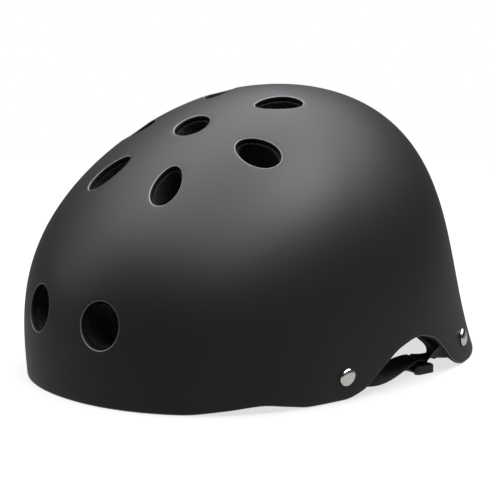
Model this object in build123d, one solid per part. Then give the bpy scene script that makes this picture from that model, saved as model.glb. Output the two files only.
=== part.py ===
from build123d import *
from math import atan2, copysign, cos, hypot, pi, radians, sin
import os

# Skateboard helmet in millimetres: the wearer looks along -Y, +X is the wearer's left, +Z is up.
# The helmet stands on its rim with the chin strap folded inside the bowl.

# Outside of the shell
shell_height = 162.4
front_reach = 127.2
rear_reach = 152.4
foot_half_width = 103.9
crown_back = 24.6
widest_ahead = 19.65
front_fullness = 2.1
rear_fullness = 2.47
shell_wall = 3.0

# Profiles from the crown down to the floor: run outwards and height, as shares of the sizes above
front_run_shares = (0, 0.354, 1.006, 1.006, 1)
front_height_shares = (1, 1, 0.581, 0.414, 0)
rear_run_shares = (0, 0.477, 0.816, 0.6425, 1)
rear_height_shares = (1, 1, 0.828, 0.554, 0)
side_run_shares = (0, 0.480, 1.143, 1.1755, 1)
side_height_shares = (1, 1, 0.7865, 0.335, 0)

# Lower edge in side view: the three feet, the ear arch and the two shallow rises
brow_foot_end = -100.0
brow_rise = 4.0
brow_rise_at = -62.0
lobe_foot_start = -32.0
lobe_foot_end = -8.0
ear_height = 28.2
ear_centre = 46.0
rear_foot_start = 103.0
rear_foot_end = 113.0
nape_rise = 5.0
ear_front_shares = ((0.24, 0.13), (0.46, 0.51), (0.72, 0.87))
ear_rear_shares = ((0.27, 0.88), (0.51, 0.57), (0.77, 0.16))

# Foam liner
liner_gap = 0.1
liner_front = 20.0
liner_side = 18.0
liner_rear = 20.0
liner_crown = 19.0
liner_lift = 1.5
vent_step = 1.6

# Vents: round pair over the brow, then egg shapes that point away from the middle one
brow_vent_bore = 27.0
middle_vent_length = 22.7
middle_vent_width = 20.8
egg_vents = {
    "upper_front": dict(round_head=71.2, down=0.418, length=30.0, width=18.0, turn=-3.4),
    "upper_side": dict(round_head=37.1, down=0.336, length=29.8, width=19.9, turn=2.0),
    "upper_rear": dict(round_head=26.7, down=0.148, length=27.7, width=17.0, turn=0.8),
    "rear": dict(round_head=-74.0, down=0.52, length=28.0, width=18.0, turn=0.0),
}
egg_fullness = 0.12
brow_vent_round_head = 75.7
brow_vent_down = 0.805
middle_vent_down = 0.237
ahead_turn = 90.0

# Comfort pads, held on hook patches
pad_thickness = 7.0
crown_pad_thickness = 8.0
patch_thickness = 0.8
patch_play = 0.25
# Each pad runs along a path over the liner; the shares are those of the skin from the crown (0) to the foot (1)
pads = {
    "brow_pad": dict(turn_from=46, turn_to=134, down_share=0.91, half_share=0.05),
    "nape_pad": dict(turn_from=-128, turn_to=-52, down_share=0.85, half_share=0.055),
    "left_side_pad": dict(turn_from=-30, turn_to=34, down_share=0.755, half_share=0.055),
    "right_side_pad": dict(turn_from=146, turn_to=210, down_share=0.755, half_share=0.055),
    "forehead_pad": dict(ahead_from_share=0.34, ahead_to_share=0.62, half_share=0.11),
    "crown_pad": dict(ahead_from_share=-0.30, ahead_to_share=0.11, half_share=0.16),
    "back_pad": dict(ahead_from_share=-0.68, ahead_to_share=-0.40, half_share=0.17),
}
pad_run_shares = (0, 0.05, 0.16, 0.5, 0.84, 0.95, 1)
pad_width_shares = (0.50, 0.82, 1, 1, 1, 0.82, 0.50)
pad_height_shares = (0.45, 0.75, 0.95, 1, 0.95, 0.75, 0.45)
pad_side_share = 0.80
pad_drawn_share = 0.45
patch_at_shares = (0.24, 0.76)
patch_half_turn = 5.0
patch_half_share = 0.035

# Rivets through the shell
rivet_head = 10.6
rivet_dome = 2.3
rivet_rim = 0.5
rivet_pin = 4.6
rivet_pin_length = 6.5
rivet_sleeve = 6.2
rivet_flange = 11.0
rivet_flange_thickness = 1.2
rivet_seat = 0.35
washer_diameter = 13.0
washer_thickness = 1.0
fit_clearance = 0.05
stack_gap = 0.3
front_rivet_turn = -1.65
front_rivet_down = 0.935
rear_rivet_turn = -44.55
rear_rivet_down = 0.945
pocket_depth = 13.5
pocket_up = 11.0
pocket_ahead = 12.0
front_pocket_back = 36.0
rear_pocket_front = 28.0

# Straps: webbing legs from the rivets to a divider, then the chin strap to the buckle
web_width = 15.0
web_thickness = 1.4
web_gap = 0.3
tab_half = 8.5
tab_gap = 1.2
divider_x = 77.0
divider_y = 63.0
chin_tail = 6.0
loop_radius = 38.0
straight_run = 20.0
tail_turn = 24.0
tail_gap = 0.3
rear_leg_tab_turn = 30.0
# Shares of the way from the rivet tab to the divider, across, along and down, then the lean in degrees
front_leg_shares = (
    (0.14, 0.10, 0.30, 0),
    (0.28, 0.26, 0.75, 30),
    (0.50, 0.46, 1.05, 62),
    (0.76, 0.70, 1.06, 80),
    (0.95, 0.89, 0.97, 90),
)
rear_leg_steps = 8
rear_leg_leaving = (-3.0, -6.0, -2.0)
rear_leg_arriving = (-1.0, 7.0, 1.6)
rear_leg_lean_power = 1.2

# Dividers
divider_rail = 3.0
divider_height = 5.0
divider_chamfer = 0.9
bar_diameter = 2.6
flat_bar = 2.4
leg_gap = 0.4

# Buckle
buckle_width = 24.0
buckle_thickness = 7.0
buckle_round = 1.5
buckle_bar_reach = 23.0
buckle_solid_reach = 17.5
buckle_end_reach = 25.0
buckle_wall = 1.9
cavity_depth = 15.8
cavity_height = 3.6
window_start = 2.0
window_length = 8.0
window_height = 4.6
tongue_width = 5.4
tongue_length = 14.5
prong_thickness = 2.8
slide_clearance = 0.3
# Prong outline from its root: along the slide and out from the middle, as shares of tongue length and half width
prong_shares = (
    (0, 0.50), (0, 0.73), (0.20, 0.77), (0.23, 0.94), (0.44, 0.94), (0.78, 0.68), (0.93, 0.58), (0.93, 0.46),
    (0.22, 0.54),
)
keeper_width = 7.0
keeper_wall = 1.5
keeper_play = 0.25

# Working values
ring_points = 24
ring_count = 12
first_ring_share = 0.05
foot_ring_share = 1.027
step_share = 0.001
cut_overrun = 8.0
HALF = 0.5


def bezier(values, u):
    """Point at share u of the curve that the control values give."""
    values = list(values)
    while len(values) > 1:
        values = [a + (b - a) * u for a, b in zip(values, values[1:])]
    return values[0]


def skin(across, ahead):
    """Outer skin: the crown is at (0, 0), the foot is the unit circle, ahead runs to the brow."""
    down = hypot(across, ahead)
    turn = atan2(ahead, across)
    side_weight = cos(turn) ** 2
    end_weight = 1 - side_weight
    facing_front = ahead >= 0
    reach = -front_reach if facing_front else rear_reach
    run_shares = front_run_shares if facing_front else rear_run_shares
    height_shares = front_height_shares if facing_front else rear_height_shares
    foot_fullness = front_fullness if facing_front else rear_fullness
    fullness = 2 + (foot_fullness - 2) * min(down, 1)
    bulge_side = copysign(abs(cos(turn)) ** (2 / fullness), across)
    bulge_end = abs(sin(turn)) ** (2 / fullness)
    middle = crown_back - (crown_back + widest_ahead) * bezier((0, 0, 1, 1), down)
    end = crown_back + (reach - crown_back) * bezier(run_shares, down)
    height = end_weight * bezier(height_shares, down) + side_weight * bezier(side_height_shares, down)
    x = foot_half_width * bezier(side_run_shares, down) * bulge_side
    y = middle + (end - middle) * bulge_end
    return Vector(x, y, shell_height * height)


def skin_normal(across, ahead):
    """Unit normal of the outer skin, pointing out of the helmet."""
    side = skin(across + step_share, ahead) - skin(across - step_share, ahead)
    front = skin(across, ahead + step_share) - skin(across, ahead - step_share)
    return front.cross(side).normalized()


def inside(across, ahead, depth):
    """Point that lies depth under the outer skin."""
    return skin(across, ahead) - skin_normal(across, ahead) * depth


def place(round_head, down):
    """Shares across and ahead for a turn round the head in degrees and a share down from the crown."""
    return down * cos(radians(round_head)), down * sin(radians(round_head))


def liner_depth(across, ahead):
    """Depth of the liner's inner face under the outer skin."""
    down = min(hypot(across, ahead), 1)
    turn = atan2(ahead, across)
    end = liner_front if ahead >= 0 else liner_rear
    low = liner_side * cos(turn) ** 2 + end * sin(turn) ** 2
    low_weight = bezier((0, 0, 1, 1), down)
    return shell_wall + liner_crown + (low - liner_crown) * low_weight


def ring(down, rule):
    """Closed outline round the head, a share down from the crown, under the skin by the rule."""
    points = []
    for k in range(ring_points):
        across, ahead = place(360 * (k + HALF) / ring_points, down)
        points.append(inside(across, ahead, rule(across, ahead)))
    return points


def closed_curve(points):
    """Smooth closed wire; all rings share their parameters, so that a loft through them stays light."""
    steps = [k / len(points) for k in range(len(points) + 1)]
    return Wire(Edge.make_spline(points, periodic=True, parameters=steps))


def dome(rule):
    """Everything under the skin, by the depth that a rule gives, down past the floor."""
    crown = inside(step_share, 0, rule(step_share, 0))
    sections = [Vertex(crown.X, crown.Y, crown.Z)]
    for k in range(ring_count + 1):
        down = first_ring_share + (1 - first_ring_share) * k / ring_count
        sections.append(closed_curve(ring(down, rule)))
    foot = [Vector(point.X, point.Y, -cut_overrun) for point in ring(foot_ring_share, rule)]
    sections.append(closed_curve(foot))
    return Solid.make_loft(sections)


def evenly(depth):
    """Rule for the same depth everywhere."""
    return lambda across, ahead: depth


def edge_line(lift):
    """Lower edge in side view, from the front to the rear, raised by lift."""
    def point(y, z):
        return Vector(0, y, z + lift)

    def arch(start, end, shares):
        return [point(start + (end - start) * run, ear_height * rise) for run, rise in shares]

    front_end = -front_reach - cut_overrun
    rear_end = rear_reach + cut_overrun
    along = Vector(0, 1, 0)
    brow = Spline(
        point(brow_foot_end, 0), point(brow_rise_at, brow_rise), point(lobe_foot_start, 0), tangents=(along, along)
    )
    ear = Spline(
        point(lobe_foot_end, 0),
        *arch(lobe_foot_end, ear_centre, ear_front_shares),
        point(ear_centre, ear_height),
        *arch(ear_centre, rear_foot_start, ear_rear_shares),
        point(rear_foot_start, 0),
        tangents=(along, along),
    )
    nape = Spline(point(rear_foot_end, 0), point(rear_end, nape_rise), tangents=(along, along))
    low = -2 * cut_overrun
    return [
        Line(point(front_end, 0), point(brow_foot_end, 0)),
        brow,
        Line(point(lobe_foot_start, 0), point(lobe_foot_end, 0)),
        ear,
        Line(point(rear_foot_start, 0), point(rear_foot_end, 0)),
        nape,
        Line(point(rear_end, nape_rise), point(rear_end, low)),
        Line(point(rear_end, low), point(front_end, low)),
        Line(point(front_end, low), point(front_end, 0)),
    ]


def below_edge(lift):
    """Everything under the lower edge line, which is cut away."""
    face = make_face(Wire(edge_line(lift)))
    return extrude(face, 2 * foot_half_width, dir=(1, 0, 0), both=True)


def turned(plane, turn):
    """The plane turned about its own normal."""
    return Plane(plane.location * Rot(0, 0, turn))


def vent_plane(round_head, down, turn):
    """Plane on the skin whose x axis points away from the middle vent, then turned."""
    across, ahead = place(round_head, down)
    origin = skin(across, ahead)
    normal = skin_normal(across, ahead)
    away = origin - skin(*place(ahead_turn, middle_vent_down))
    if away.length < egg_fullness:
        away = Vector(1, 0, 0)
    flat = away - normal * away.dot(normal)
    return turned(Plane(origin=origin, x_dir=flat, z_dir=normal), turn)


def egg(length, width, fullness):
    """Egg outline whose wide end lies along +x."""
    count = 14
    points = []
    for k in range(count):
        angle = 2 * pi * k / count
        points.append((length / 2 * cos(angle), width / 2 * sin(angle) * (1 + fullness * cos(angle))))
    return make_face(Spline(*points, periodic=True))


def vents(shrink):
    """Cutters for every vent, made smaller all round by shrink."""
    reach = liner_rear + liner_crown
    outlines = []
    for side in (1, -1):
        round_head = ahead_turn - side * (ahead_turn - brow_vent_round_head)
        plane = vent_plane(round_head, brow_vent_down, 0)
        outlines.append((plane, Circle(brow_vent_bore / 2 - shrink)))
        for size in egg_vents.values():
            round_head = ahead_turn - side * (ahead_turn - size["round_head"])
            plane = vent_plane(round_head, size["down"], side * size["turn"])
            outline = egg(size["length"] - 2 * shrink, size["width"] - 2 * shrink, egg_fullness)
            outlines.append((plane, outline))
    middle = egg(middle_vent_length - 2 * shrink, middle_vent_width - 2 * shrink, 0)
    outlines.append((vent_plane(ahead_turn, middle_vent_down, 0), middle))
    return [extrude(plane * outline, reach, both=True) for plane, outline in outlines]


def rivet_plane(turn, down):
    """Plane on the skin at a rivet of the left side: z out of the helmet, x towards the rear, y up."""
    across, ahead = place(turn, down)
    normal = skin_normal(across, ahead)
    return Plane(origin=skin(across, ahead), x_dir=Vector(0, 0, 1).cross(normal), z_dir=normal)


front_rivet = rivet_plane(front_rivet_turn, front_rivet_down)
rear_rivet = rivet_plane(rear_rivet_turn, rear_rivet_down)
web_depth = shell_wall + tab_gap
washer_depth = web_depth + web_thickness + stack_gap
flange_depth = washer_depth + washer_thickness + stack_gap
flange_end = flange_depth + rivet_flange_thickness


def mirrored(solid):
    """The same piece on the right side."""
    return mirror(solid, about=Plane.YZ)


def cut_each(body, cutters):
    """Cut one after another, because the cutters meet each other under the crown."""
    for cutter in cutters:
        body = body.cut(cutter)
    return body


def shell():
    """Moulded hard shell with its vents and rivet holes."""
    holes = []
    for plane in (front_rivet, rear_rivet):
        hole = extrude(plane * Circle(rivet_sleeve / 2 + fit_clearance), shell_wall + cut_overrun, both=True)
        holes += [hole, mirrored(hole)]
    body = dome(evenly(0)).cut(dome(evenly(shell_wall)), below_edge(0))
    return cut_each(body, vents(0) + holes)


def pocket(plane, ahead, back):
    """Recess behind a rivet that lets the webbing run out between shell and liner."""
    size = Box(ahead + back, pocket_up + 2 * pocket_depth, shell_wall + pocket_depth + cut_overrun)
    middle = Pos((back - ahead) / 2, -pocket_depth + pocket_up / 2, (cut_overrun - shell_wall - pocket_depth) / 2)
    return plane * middle * size


def liner():
    """Expanded foam liner, glued into the shell."""
    pockets = [
        pocket(front_rivet, pocket_ahead, front_pocket_back),
        pocket(rear_rivet, rear_pocket_front, pocket_ahead),
    ]
    pockets += [mirrored(one) for one in pockets]
    inner = dome(liner_depth)
    outer = dome(evenly(shell_wall + liner_gap))
    body = outer.cut(inner, below_edge(liner_lift))
    return cut_each(body, vents(vent_step) + pockets)


def pad_section(place_at, cross, half, base, height, drawn_share):
    """Face across a pad: a back that follows the liner, drawn-in sides and a crowned front."""
    def on_liner(share, rise):
        across = place_at[0] + cross[0] * half * share
        ahead = place_at[1] + cross[1] * half * share
        return inside(across, ahead, liner_depth(across, ahead) + rise)

    low = on_liner(-1, base)
    high = on_liner(1, base)
    middle = on_liner(0, base)
    chord = high - low
    inward = on_liner(0, base + height) - middle
    facing = chord.cross(inward)
    plane = Plane(origin=(low + high) * HALF, x_dir=chord, z_dir=facing)
    wide = chord.length / 2
    sag = plane.to_local_coords(middle).Y
    tall = height + sag
    side_height = height * pad_side_share
    drawn = height * drawn_share
    shoulder = wide - drawn
    bulge = wide - drawn * (1 - pad_drawn_share) * HALF
    back = ThreePointArc((-wide, 0), (0, sag), (wide, 0))
    front = ThreePointArc((shoulder, side_height), (0, tall), (-shoulder, side_height))
    if drawn:
        right = ThreePointArc((wide, 0), (bulge, side_height * HALF), (shoulder, side_height))
        left = ThreePointArc((-shoulder, side_height), (-bulge, side_height * HALF), (-wide, 0))
    else:
        right = Line((wide, 0), (shoulder, side_height))
        left = Line((-shoulder, side_height), (-wide, 0))
    return plane * make_face([back, right, front, left])


def pad_station(pad, share):
    """Where a share of the pad's run lies on the skin, and the direction across the pad."""
    if "down_share" in pad:
        turn = pad["turn_from"] + (pad["turn_to"] - pad["turn_from"]) * share
        across, ahead = place(turn, pad["down_share"])
        return (across, ahead), place(turn, 1)
    ahead = pad["ahead_from_share"] + (pad["ahead_to_share"] - pad["ahead_from_share"]) * share
    return (0, ahead), (1, 0)


def soft_pad(pad, thickness):
    """Sewn foam pad on the liner."""
    base = patch_thickness + 2 * patch_play
    sections = []
    for run, width, height in zip(pad_run_shares, pad_width_shares, pad_height_shares):
        at, cross = pad_station(pad, run)
        sections.append(
            pad_section(at, cross, pad["half_share"] * width, base, thickness * height, pad_drawn_share)
        )
    return loft(sections)


def hook_patches(pad):
    """Two thin hook patches that hold a pad to the liner."""
    patches = []
    for middle in patch_at_shares:
        sections = []
        for step in (-1, 0, 1):
            at, cross = pad_station(pad, middle + step * patch_half_share)
            sections.append(
                pad_section(at, cross, pad["half_share"] * HALF, patch_play, patch_thickness, 0)
            )
        patches.append(loft(sections))
    return patches


def rivet_cap(plane):
    """Polished domed cap with its pin."""
    radius = rivet_head / 2
    pin = rivet_pin / 2
    outline = [
        Line((0, -rivet_pin_length), (pin, -rivet_pin_length)),
        Line((pin, -rivet_pin_length), (pin, rivet_seat)),
        Line((pin, rivet_seat), (radius, rivet_seat)),
        Line((radius, rivet_seat), (radius, rivet_seat + rivet_rim)),
        Spline(
            (radius, rivet_seat + rivet_rim), (0, rivet_seat + rivet_dome), tangents=((-HALF, 1), (-1, 0))
        ),
        Line((0, rivet_seat + rivet_dome), (0, -rivet_pin_length)),
    ]
    return plane * revolve(Plane.XZ * make_face(outline), axis=Axis.Z)


def disc(plane, diameter, bore, depth, thickness):
    """Flat ring that starts at a depth under the skin."""
    ring_face = Circle(diameter / 2) - Circle(bore / 2)
    return plane * Pos(0, 0, -depth - thickness) * extrude(ring_face, thickness)


def rivet_washer(plane):
    """Washer between webbing and rivet back."""
    return disc(plane, washer_diameter, rivet_sleeve + 2 * fit_clearance, washer_depth, washer_thickness)


def rivet_back(plane):
    """Tubular rivet half: a flange inside and a sleeve through webbing and shell."""
    bore = rivet_pin + 2 * fit_clearance
    sleeve_length = flange_depth - HALF * shell_wall
    flange = disc(plane, rivet_flange, bore, flange_depth, rivet_flange_thickness)
    sleeve = disc(plane, rivet_sleeve, bore, flange_depth - sleeve_length, sleeve_length)
    return flange + sleeve


def web_face(origin, width_dir, tangent):
    """Section across the webbing."""
    flat = width_dir - tangent * (width_dir.dot(tangent) / tangent.dot(tangent))
    return Plane(origin=origin, x_dir=flat, z_dir=tangent) * Rectangle(web_width, web_thickness)


def ribbon(places):
    """Webbing through places, each a point with the direction of its width."""
    steps = [(b[0] - a[0]).normalized() for a, b in zip(places, places[1:])]
    headings = [a + b for a, b in zip(steps[:1] + steps, steps + steps[-1:])]
    sections = [web_face(origin, width, heading) for (origin, width), heading in zip(places, headings)]
    return loft(sections, ruled=True)


def tab_level(plane, turn):
    """Plane in the middle of a webbing end under a rivet, turned about the rivet."""
    return turned(plane.offset(-web_depth - web_thickness / 2), turn)


def rivet_hole(plane):
    """Cutter for the hole in the webbing."""
    return plane * Cylinder(rivet_sleeve / 2 + stack_gap, 2 * flange_end)


slot_start = divider_y + bar_diameter / 2 + web_gap + web_thickness + web_gap + flat_bar
front_leg_y = slot_start + leg_gap + web_thickness / 2
rear_leg_y = front_leg_y + web_thickness + leg_gap
slot_end = rear_leg_y + web_thickness / 2 + leg_gap
strap_height = buckle_thickness / 2
loop_outer = bar_diameter / 2 + web_gap + web_thickness
over_height = strap_height + loop_outer + web_gap + web_thickness / 2
bend = web_thickness


def slot_places(y, towards, flat):
    """Places where a leg dips from above the divider into its rear slot."""
    return [
        (Vector(divider_x, y + towards * bend, over_height), flat),
        (Vector(divider_x, y, over_height - bend), flat),
        (Vector(divider_x, y, web_gap), flat),
    ]


def front_leg():
    """Webbing from the front rivet back to the divider, twisting from upright to flat."""
    level = tab_level(front_rivet, 0)
    upright = level.y_dir
    end = level.origin - level.x_dir * tab_half
    begin = level.origin + level.x_dir * tab_half
    dip = slot_places(front_leg_y, -1, Vector(-1, 0, 0))
    way = dip[0][0] - begin
    places = [(end, upright), (begin, upright)]
    for across, along, drop, lean in front_leg_shares:
        origin = begin + Vector(way.X * across, way.Y * along, way.Z * drop)
        places.append((origin, Vector(-sin(radians(lean)), 0, cos(radians(lean)))))
    return ribbon(places + dip) - rivet_hole(front_rivet)


def rear_leg():
    """Webbing from the rear rivet forward and down to the divider."""
    level = tab_level(rear_rivet, rear_leg_tab_turn)
    upright = level.y_dir
    end = level.origin + level.x_dir * tab_half
    flat_end = level.origin - level.x_dir * washer_diameter / 2
    begin = level.origin - level.x_dir * tab_half
    dip = slot_places(rear_leg_y, 1, Vector(1, 0, 0))
    controls = (begin, begin + Vector(*rear_leg_leaving), dip[0][0] + Vector(*rear_leg_arriving), dip[0][0])
    places = [(end, upright), (flat_end, upright)]
    for k in range(rear_leg_steps):
        share = k / rear_leg_steps
        lean = pi / 2 * share ** rear_leg_lean_power
        places.append((bezier(controls, share), upright * cos(lean) + dip[0][1] * sin(lean)))
    return ribbon(places + dip) - rivet_hole(rear_rivet)


def divider():
    """Moulded strap divider: side rails, a round front bar and two flat bars behind it."""
    slot_half = web_width / 2 + leg_gap
    outer = slot_half + divider_rail
    front = divider_y - bar_diameter / 2 - web_gap
    back = slot_end + flat_bar
    body = Box(2 * outer, back - front, divider_height, align=(Align.CENTER, Align.MIN, Align.MIN))
    body = Pos(divider_x, front, 0) * fillet(body.edges().filter_by(Axis.Z), flat_bar)
    body = chamfer(body.edges().group_by(Axis.Z)[-1], divider_chamfer)
    front_slot_end = slot_start - flat_bar
    front_slot = Box(2 * slot_half, front_slot_end - front + cut_overrun, 2 * cut_overrun)
    rear_slot = Box(2 * slot_half, slot_end - slot_start, 2 * cut_overrun)
    body -= Pos(divider_x, (front_slot_end + front - cut_overrun) / 2, 0) * front_slot
    body -= Pos(divider_x, (slot_start + slot_end) / 2, 0) * rear_slot
    bar = Cylinder(bar_diameter / 2, 2 * slot_half + divider_rail, rotation=(0, 90, 0))
    return body + Pos(divider_x, divider_y, strap_height) * bar


def web_loop(origin, along_x):
    """Sewn end of the webbing round a bar."""
    turn = Rot(0, 90, 0) if along_x else Rot(90, 0, 0)
    ring_face = Circle(loop_outer) - Circle(bar_diameter / 2 + web_gap)
    return Pos(*origin) * turn * extrude(ring_face, web_width / 2, both=True)


buckle_y = divider_y - chin_tail - loop_radius
arc_centre = Vector(divider_x - loop_radius, divider_y - chin_tail, 0)


def chin_half():
    """Left half of the chin strap: loop at the divider, a curve in the bowl, loop at the buckle."""
    tail_length = chin_tail - loop_outer + web_thickness
    tail_web = Box(web_width, tail_length, web_thickness, align=(Align.CENTER, Align.MIN, Align.CENTER))
    tail_web = Pos(divider_x, divider_y - chin_tail, strap_height) * tail_web
    ring_face = Circle(loop_radius + web_width / 2) - Circle(loop_radius - web_width / 2)
    quarter = Pos(loop_radius, -loop_radius) * Rectangle(2 * loop_radius, 2 * loop_radius)
    curve = extrude(ring_face & quarter, web_thickness / 2, both=True)
    curve = Pos(arc_centre.X, arc_centre.Y, strap_height) * curve
    run_start = buckle_bar_reach + loop_outer - web_thickness
    run_length = arc_centre.X - run_start
    run = Box(run_length, web_width, web_thickness, align=(Align.MIN, Align.CENTER, Align.CENTER))
    run = Pos(run_start, buckle_y, strap_height) * run
    first = web_loop((divider_x, divider_y, strap_height), True)
    last = web_loop((buckle_bar_reach, buckle_y, strap_height), False)
    return first + tail_web + curve + run + last


def buckle_block(reach_from, reach_to):
    """Body of one buckle half with two rails and a bar for the webbing, open towards its end."""
    length = reach_to - reach_from
    body = Box(length, buckle_width, buckle_thickness, align=(Align.MIN, Align.CENTER, Align.MIN))
    body = fillet(body.edges().filter_by(Axis.Z), buckle_round)
    body = fillet(body.edges().group_by(Axis.Z)[-1], buckle_round / 2)
    body = Pos(reach_from, buckle_y, 0) * body
    gap_half = web_width / 2 + leg_gap
    gap_length = reach_to - buckle_solid_reach + cut_overrun
    gap = Box(gap_length, 2 * gap_half, 2 * cut_overrun, align=(Align.MIN, Align.CENTER, Align.CENTER))
    body -= Pos(buckle_solid_reach, buckle_y, 0) * gap
    bar = Cylinder(bar_diameter / 2, 2 * gap_half + divider_rail, rotation=(90, 0, 0))
    return body + Pos(buckle_bar_reach, buckle_y, strap_height) * bar


def buckle_socket():
    """Buckle half that takes the prongs, with a window on each side."""
    body = buckle_block(0, buckle_end_reach)
    cavity = Box(cavity_depth + cut_overrun, buckle_width - 2 * buckle_wall, cavity_height)
    body -= Pos((cavity_depth - cut_overrun) / 2, buckle_y, strap_height) * cavity
    window = Box(window_length, 2 * buckle_width, window_height)
    return body - Pos(window_start + window_length / 2, buckle_y, strap_height) * window


def buckle_plug():
    """Buckle half with the guide tongue."""
    body = mirrored(buckle_block(slide_clearance, buckle_end_reach))
    length = tongue_length + slide_clearance
    tongue = Box(length, tongue_width, prong_thickness, align=(Align.MIN, Align.CENTER, Align.CENTER))
    return body + Pos(-slide_clearance, buckle_y, strap_height) * tongue


def buckle_prongs():
    """The two springy prongs of the plug."""
    half_width = buckle_width / 2
    points = [(run * tongue_length - slide_clearance, out * half_width) for run, out in prong_shares]
    prong = extrude(make_face(Polyline(*points, close=True)), prong_thickness / 2, both=True)
    both = [prong, mirror(prong, about=Plane.XZ)]
    return [Pos(0, buckle_y, strap_height) * one for one in both]


tail_low = strap_height + web_thickness / 2 + tail_gap


def strap_tail():
    """Free end of the webbing, folded back over the right half of the chin strap."""
    start = -buckle_bar_reach - loop_outer - web_gap
    length = start + arc_centre.X
    run = Box(length, web_width, web_thickness, align=(Align.MAX, Align.CENTER, Align.MIN))
    run = Pos(start, buckle_y, tail_low) * run
    ring_face = Circle(loop_radius + web_width / 2) - Circle(loop_radius - web_width / 2)
    reach = 2 * loop_radius
    turn = radians(tail_turn)
    wedge = Polygon((0, 0), (0, -reach), (-reach * sin(turn), -reach * cos(turn)), align=None)
    curve = Pos(-arc_centre.X, arc_centre.Y, tail_low) * extrude(ring_face & wedge, web_thickness)
    return run + curve


def strap_keeper():
    """Rubber loop that holds the free end down."""
    height = 2 * web_thickness + tail_gap + 2 * keeper_play
    hole = Rectangle(web_width + 2 * keeper_play, height)
    outer = RectangleRounded(
        web_width + 2 * keeper_play + 2 * keeper_wall, height + 2 * keeper_wall, keeper_wall
    )
    middle_height = strap_height - web_thickness / 2 - keeper_play + height / 2
    middle_x = -(buckle_bar_reach + loop_outer + arc_centre.X) / 2
    plane = Plane(origin=(middle_x, buckle_y, middle_height), x_dir=(0, 1, 0), z_dir=(1, 0, 0))
    return extrude(plane * (outer - hole), keeper_width / 2, both=True)


def both_sides(nodes, name, solid):
    nodes["left_" + name] = solid
    nodes["right_" + name] = mirrored(solid)


def grouped(solids):
    """Several like pieces in one node."""
    return Compound(children=[part for solid in solids for part in solid.solids()])


def build():
    nodes = {"outer_shell": shell(), "foam_liner": liner()}
    patches = []
    for name, pad in pads.items():
        thickness = crown_pad_thickness if name == "crown_pad" else pad_thickness
        nodes[name] = soft_pad(pad, thickness)
        patches += hook_patches(pad)
    nodes["hook_patches"] = grouped(patches)
    both_sides(nodes, "front_rivet", rivet_cap(front_rivet))
    both_sides(nodes, "rear_rivet", rivet_cap(rear_rivet))
    washers = [rivet_washer(front_rivet), rivet_washer(rear_rivet)]
    backs = [rivet_back(front_rivet), rivet_back(rear_rivet)]
    nodes["rivet_washers"] = grouped(washers + [mirrored(one) for one in washers])
    nodes["rivet_backs"] = grouped(backs + [mirrored(one) for one in backs])
    both_sides(nodes, "front_leg", front_leg())
    both_sides(nodes, "rear_leg", rear_leg())
    both_sides(nodes, "divider", divider())
    both_sides(nodes, "chin_strap", chin_half())
    nodes["buckle_socket"] = buckle_socket()
    nodes["buckle_plug"] = buckle_plug()
    nodes["buckle_prongs"] = grouped(buckle_prongs())
    nodes["strap_tail"] = strap_tail()
    nodes["strap_keeper"] = strap_keeper()
    return nodes


nodes = build()
outline_y = [point.Y for point in nodes["outer_shell"].tessellate(stack_gap)[0]]
middle_y = (min(outline_y) + max(outline_y)) / 2
os.makedirs("parts", exist_ok=True)
for name, piece in nodes.items():
    export_step(Pos(0, -middle_y, 0) * piece, f"parts/{name}.step")
print("origin moved back by", round(middle_y, 3))
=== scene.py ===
from math import atan2, cos, hypot, pi, radians, sin
import bmesh
import bpy
import numpy as np
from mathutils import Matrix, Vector
from mathutils.bvhtree import BVHTree
from mathutils.geometry import delaunay_2d_cdt
from mathutils.kdtree import KDTree


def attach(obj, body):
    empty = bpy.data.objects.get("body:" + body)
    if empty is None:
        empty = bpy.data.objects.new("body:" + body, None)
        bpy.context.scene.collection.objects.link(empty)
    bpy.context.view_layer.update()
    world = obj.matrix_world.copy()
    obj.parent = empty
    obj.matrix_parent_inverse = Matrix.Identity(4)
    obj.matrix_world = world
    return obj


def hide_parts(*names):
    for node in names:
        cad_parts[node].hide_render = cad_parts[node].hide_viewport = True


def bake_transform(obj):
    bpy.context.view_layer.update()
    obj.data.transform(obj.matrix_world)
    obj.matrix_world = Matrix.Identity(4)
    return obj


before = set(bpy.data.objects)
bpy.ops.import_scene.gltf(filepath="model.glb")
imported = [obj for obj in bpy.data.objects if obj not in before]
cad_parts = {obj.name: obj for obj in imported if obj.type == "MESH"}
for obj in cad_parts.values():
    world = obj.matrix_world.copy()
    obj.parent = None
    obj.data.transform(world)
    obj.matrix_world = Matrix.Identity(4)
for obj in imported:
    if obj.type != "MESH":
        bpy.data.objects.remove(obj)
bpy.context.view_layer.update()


# Outer shell: one injection-moulded skin of hard black plastic, 3 mm thick.
# Its 11 vents and its lower edge are trimmed in the mould: the rounded rim is coloured pale as a painted highlight,
# and the cut wall is dull and coloured darker than the skin as painted shade.
SHELL_HEIGHT = 0.1624
FRONT_REACH, REAR_REACH, HALF_WIDTH = 0.1272, 0.1524, 0.1039
CROWN_BACK, WIDEST_AHEAD = 0.0246, 0.01965
FRONT_FULLNESS, REAR_FULLNESS = 2.1, 2.47
FRONT_RUN, FRONT_RISE = (0, 0.354, 1.006, 1.006, 1), (1, 1, 0.581, 0.414, 0)
REAR_RUN, REAR_RISE = (0, 0.477, 0.816, 0.6425, 1), (1, 1, 0.828, 0.554, 0)
SIDE_RUN, SIDE_RISE = (0, 0.480, 1.143, 1.1755, 1), (1, 1, 0.7865, 0.335, 0)
MIDDLE_Y = 0.011449
SHELL_WALL = 0.003
RIM_ROUND = 0.0007
MESH_STEP = 0.0024
EDGE_POINTS, VENT_POINTS, RIM_ARC = 460, 56, 3

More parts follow.
